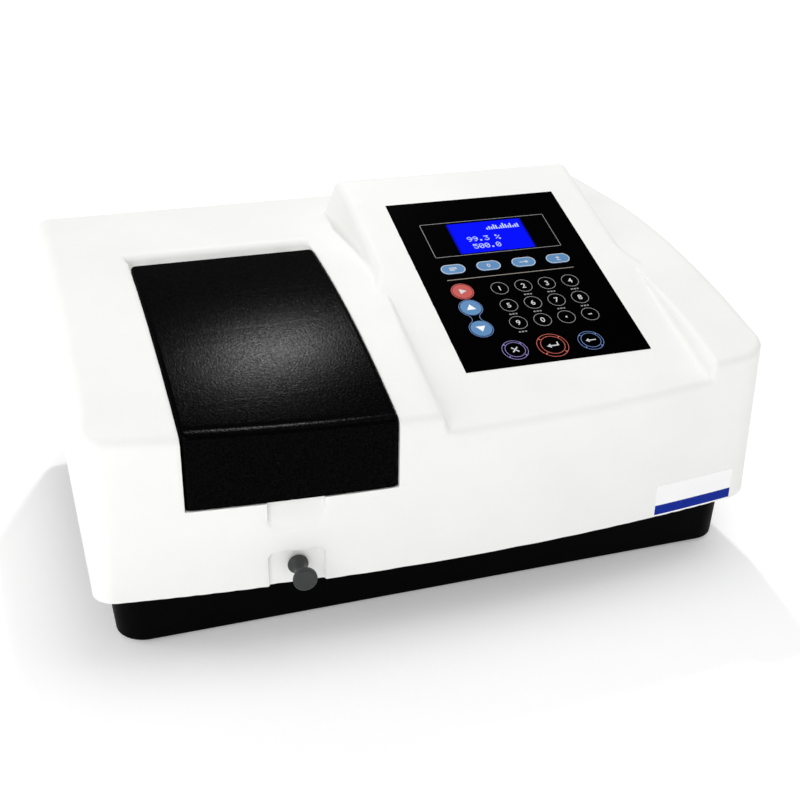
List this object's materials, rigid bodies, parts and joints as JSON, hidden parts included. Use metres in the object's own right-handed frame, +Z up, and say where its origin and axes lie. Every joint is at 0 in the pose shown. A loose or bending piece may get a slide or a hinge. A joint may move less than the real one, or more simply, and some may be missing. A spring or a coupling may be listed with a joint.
{
  "type": "uv-vis spectrophotometer",
  "caption": "Bench spectrophotometer: white bowed housing on a black base, hinged black chamber lid, pull-rod cell changer and a sloping keypad console with display.",
  "frame": {"origin": "centre of the bounding box in plan, on the plane the feet stand on", "axes": "+X to the right seen from the front, -Y towards the user, +Z up"},
  "size_m": [0.4676, 0.3478, 0.2357],
  "materials": {
    "white_shell": "warm white moulded ABS, fine satin",
    "black_base": "black, satin",
    "black_lid": "black, fine grained",
    "black_rubber": "matt",
    "black_foam": "foam strip",
    "bright_steel": "ground",
    "knob_plastic": "satin moulded",
    "brass_parts": "turned",
    "chamber_black": "matt black",
    "anodised_black": "matt anodised",
    "lens_glass": "polished silica",
    "cast_aluminium": "cast and machined",
    "mirror_coat": "coated",
    "motor_steel": "satin",
    "sheet_steel": "galvanised sheet",
    "lamp_glass": "quartz",
    "board_green": "solder mask",
    "fan_black": "moulded",
    "inlet_black": "moulded",
    "panel_black": "printed film, smooth",
    "display_blue": "backlit window",
    "key_blue": "printed film key",
    "key_red": "printed film key",
    "key_black": "printed film key"
  },
  "bodies": {
    "housing": {"base_tray": "black_base", "rubber_feet": "black_rubber", "top_cover": "white_shell", "cover_screws": "bright_steel", "sample_chamber": "chamber_black", "chamber_seal": "black_foam", "hinge_pin": "bright_steel", "carriage_rails": "bright_steel", "rod_bush": "white_shell", "chamber_windows": "lens_glass", "monochromator_box": "cast_aluminium", "monochromator_lid": "cast_aluminium", "grating_motor": "motor_steel", "concave_mirrors": "mirror_coat", "filter_motor": "motor_steel", "lamp_house": "sheet_steel", "halogen_lamp": "lamp_glass", "deuterium_lamp": "lamp_glass", "detector_housing": "anodised_black", "main_board": "board_green", "power_supply": "sheet_steel", "fan_frame": "fan_black", "power_inlet": "inlet_black", "switch_body": "inlet_black", "control_panel": "panel_black", "lcd_module": "display_blue", "keypad_board": "board_green"},
    "lid": {"lid": "black_lid"},
    "carriage": {"cell_carriage": "anodised_black", "pull_rod": "bright_steel", "rod_knob": "knob_plastic"},
    "fan": {"fan_rotor": "fan_black"},
    "filters": {"filter_wheel": "cast_aluminium"},
    "screw": {"lead_screw": "bright_steel"},
    "nut": {"drive_nut": "brass_parts"},
    "turret": {"grating_turret": "cast_aluminium", "diffraction_grating": "mirror_coat"},
    "rocker": {"power_switch": "inlet_black"},
    "key_f1": {"key_f1": "key_blue"},
    "key_f2": {"key_f2": "key_blue"},
    "key_f3": {"key_f3": "key_blue"},
    "key_f4": {"key_f4": "key_blue"},
    "key_start": {"key_start": "key_red"},
    "key_up": {"key_up": "key_blue"},
    "key_down": {"key_down": "key_blue"},
    "key_1": {"key_1": "key_black"},
    "key_2": {"key_2": "key_black"},
    "key_3": {"key_3": "key_black"},
    "key_4": {"key_4": "key_black"},
    "key_5": {"key_5": "key_black"},
    "key_6": {"key_6": "key_black"},
    "key_7": {"key_7": "key_black"},
    "key_8": {"key_8": "key_black"},
    "key_9": {"key_9": "key_black"},
    "key_0": {"key_0": "key_black"},
    "key_point": {"key_point": "key_black"},
    "key_minus": {"key_minus": "key_black"},
    "key_clear": {"key_clear": "key_black"},
    "key_enter": {"key_enter": "key_black"},
    "key_back": {"key_back": "key_black"}
  },
  "joints": [
    {"name": "lid_hinge", "type": "hinge", "parent": "housing", "child": "lid", "pos_m": [-0.109, 0.0515, 0.1942], "axis": [-1, 0, 0], "range_deg": [0, 78]},
    {"name": "carriage_slide", "type": "slide", "parent": "housing", "child": "carriage", "axis": [0, -1, 0], "range_m": [0, 0.045]},
    {"name": "fan_spin", "type": "hinge", "parent": "housing", "child": "fan", "pos_m": [0.188, 0.1629, 0.1], "axis": [0, 1, 0], "continuous": true},
    {"name": "filter_wheel_turn", "type": "hinge", "parent": "housing", "child": "filters", "pos_m": [0.1165, 0.0299, 0.1], "axis": [1, 0, 0], "continuous": true},
    {"name": "lead_screw_turn", "type": "hinge", "parent": "housing", "child": "screw", "pos_m": [0.05, -0.0701, 0.062], "axis": [1, 0, 0], "range_deg": [-2120, 2120]},
    {"name": "drive_nut_slide", "type": "slide", "parent": "housing", "child": "nut", "axis": [1, 0, 0], "range_m": [-0.0118, 0.0118]},
    {"name": "grating_turn", "type": "hinge", "parent": "housing", "child": "turret", "pos_m": [0.048, -0.0081, 0.059], "axis": [0, 0, 1], "range_deg": [-10.95, 10.95]},
    {"name": "power_switch_rock", "type": "hinge", "parent": "housing", "child": "rocker", "pos_m": [-0.116, 0.1671, 0.1], "axis": [1, 0, 0], "range_deg": [0, 14]},
    {"name": "key_f1_press", "type": "slide", "parent": "housing", "child": "key_f1", "axis": [0, 0.347, -0.9379], "range_m": [0, 0.0004], "stiffness_N_per_m": 800, "springref_m": -0.0004},
    {"name": "key_f2_press", "type": "slide", "parent": "housing", "child": "key_f2", "axis": [0, 0.347, -0.9379], "range_m": [0, 0.0004], "stiffness_N_per_m": 800, "springref_m": -0.0004},
    {"name": "key_f3_press", "type": "slide", "parent": "housing", "child": "key_f3", "axis": [0, 0.347, -0.9379], "range_m": [0, 0.0004], "stiffness_N_per_m": 800, "springref_m": -0.0004},
    {"name": "key_f4_press", "type": "slide", "parent": "housing", "child": "key_f4", "axis": [0, 0.347, -0.9379], "range_m": [0, 0.0004], "stiffness_N_per_m": 800, "springref_m": -0.0004},
    {"name": "key_start_press", "type": "slide", "parent": "housing", "child": "key_start", "axis": [0, 0.347, -0.9379], "range_m": [0, 0.0004], "stiffness_N_per_m": 800, "springref_m": -0.0004},
    {"name": "key_up_press", "type": "slide", "parent": "housing", "child": "key_up", "axis": [0, 0.347, -0.9379], "range_m": [0, 0.0004], "stiffness_N_per_m": 800, "springref_m": -0.0004},
    {"name": "key_down_press", "type": "slide", "parent": "housing", "child": "key_down", "axis": [0, 0.347, -0.9379], "range_m": [0, 0.0004], "stiffness_N_per_m": 800, "springref_m": -0.0004},
    {"name": "key_1_press", "type": "slide", "parent": "housing", "child": "key_1", "axis": [0, 0.347, -0.9379], "range_m": [0, 0.0004], "stiffness_N_per_m": 800, "springref_m": -0.0004},
    {"name": "key_2_press", "type": "slide", "parent": "housing", "child": "key_2", "axis": [0, 0.347, -0.9379], "range_m": [0, 0.0004], "stiffness_N_per_m": 800, "springref_m": -0.0004},
    {"name": "key_3_press", "type": "slide", "parent": "housing", "child": "key_3", "axis": [0, 0.347, -0.9379], "range_m": [0, 0.0004], "stiffness_N_per_m": 800, "springref_m": -0.0004},
    {"name": "key_4_press", "type": "slide", "parent": "housing", "child": "key_4", "axis": [0, 0.347, -0.9379], "range_m": [0, 0.0004], "stiffness_N_per_m": 800, "springref_m": -0.0004},
    {"name": "key_5_press", "type": "slide", "parent": "housing", "child": "key_5", "axis": [0, 0.347, -0.9379], "range_m": [0, 0.0004], "stiffness_N_per_m": 800, "springref_m": -0.0004},
    {"name": "key_6_press", "type": "slide", "parent": "housing", "child": "key_6", "axis": [0, 0.347, -0.9379], "range_m": [0, 0.0004], "stiffness_N_per_m": 800, "springref_m": -0.0004},
    {"name": "key_7_press", "type": "slide", "parent": "housing", "child": "key_7", "axis": [0, 0.347, -0.9379], "range_m": [0, 0.0004], "stiffness_N_per_m": 800, "springref_m": -0.0004},
    {"name": "key_8_press", "type": "slide", "parent": "housing", "child": "key_8", "axis": [0, 0.347, -0.9379], "range_m": [0, 0.0004], "stiffness_N_per_m": 800, "springref_m": -0.0004},
    {"name": "key_9_press", "type": "slide", "parent": "housing", "child": "key_9", "axis": [0, 0.347, -0.9379], "range_m": [0, 0.0004], "stiffness_N_per_m": 800, "springref_m": -0.0004},
    {"name": "key_0_press", "type": "slide", "parent": "housing", "child": "key_0", "axis": [0, 0.347, -0.9379], "range_m": [0, 0.0004], "stiffness_N_per_m": 800, "springref_m": -0.0004},
    {"name": "key_point_press", "type": "slide", "parent": "housing", "child": "key_point", "axis": [0, 0.347, -0.9379], "range_m": [0, 0.0004], "stiffness_N_per_m": 800, "springref_m": -0.0004},
    {"name": "key_minus_press", "type": "slide", "parent": "housing", "child": "key_minus", "axis": [0, 0.347, -0.9379], "range_m": [0, 0.0004], "stiffness_N_per_m": 800, "springref_m": -0.0004},
    {"name": "key_clear_press", "type": "slide", "parent": "housing", "child": "key_clear", "axis": [0, 0.347, -0.9379], "range_m": [0, 0.0004], "stiffness_N_per_m": 800, "springref_m": -0.0004},
    {"name": "key_enter_press", "type": "slide", "parent": "housing", "child": "key_enter", "axis": [0, 0.347, -0.9379], "range_m": [0, 0.0004], "stiffness_N_per_m": 800, "springref_m": -0.0004},
    {"name": "key_back_press", "type": "slide", "parent": "housing", "child": "key_back", "axis": [0, 0.347, -0.9379], "range_m": [0, 0.0004], "stiffness_N_per_m": 800, "springref_m": -0.0004}
  ],
  "couplings": [
    {"joint": "drive_nut_slide", "follows": "lead_screw_turn", "m_per_rad": 0.00031831},
    {"joint": "grating_turn", "follows": "lead_screw_turn", "ratio": 0.005134}
  ]
}
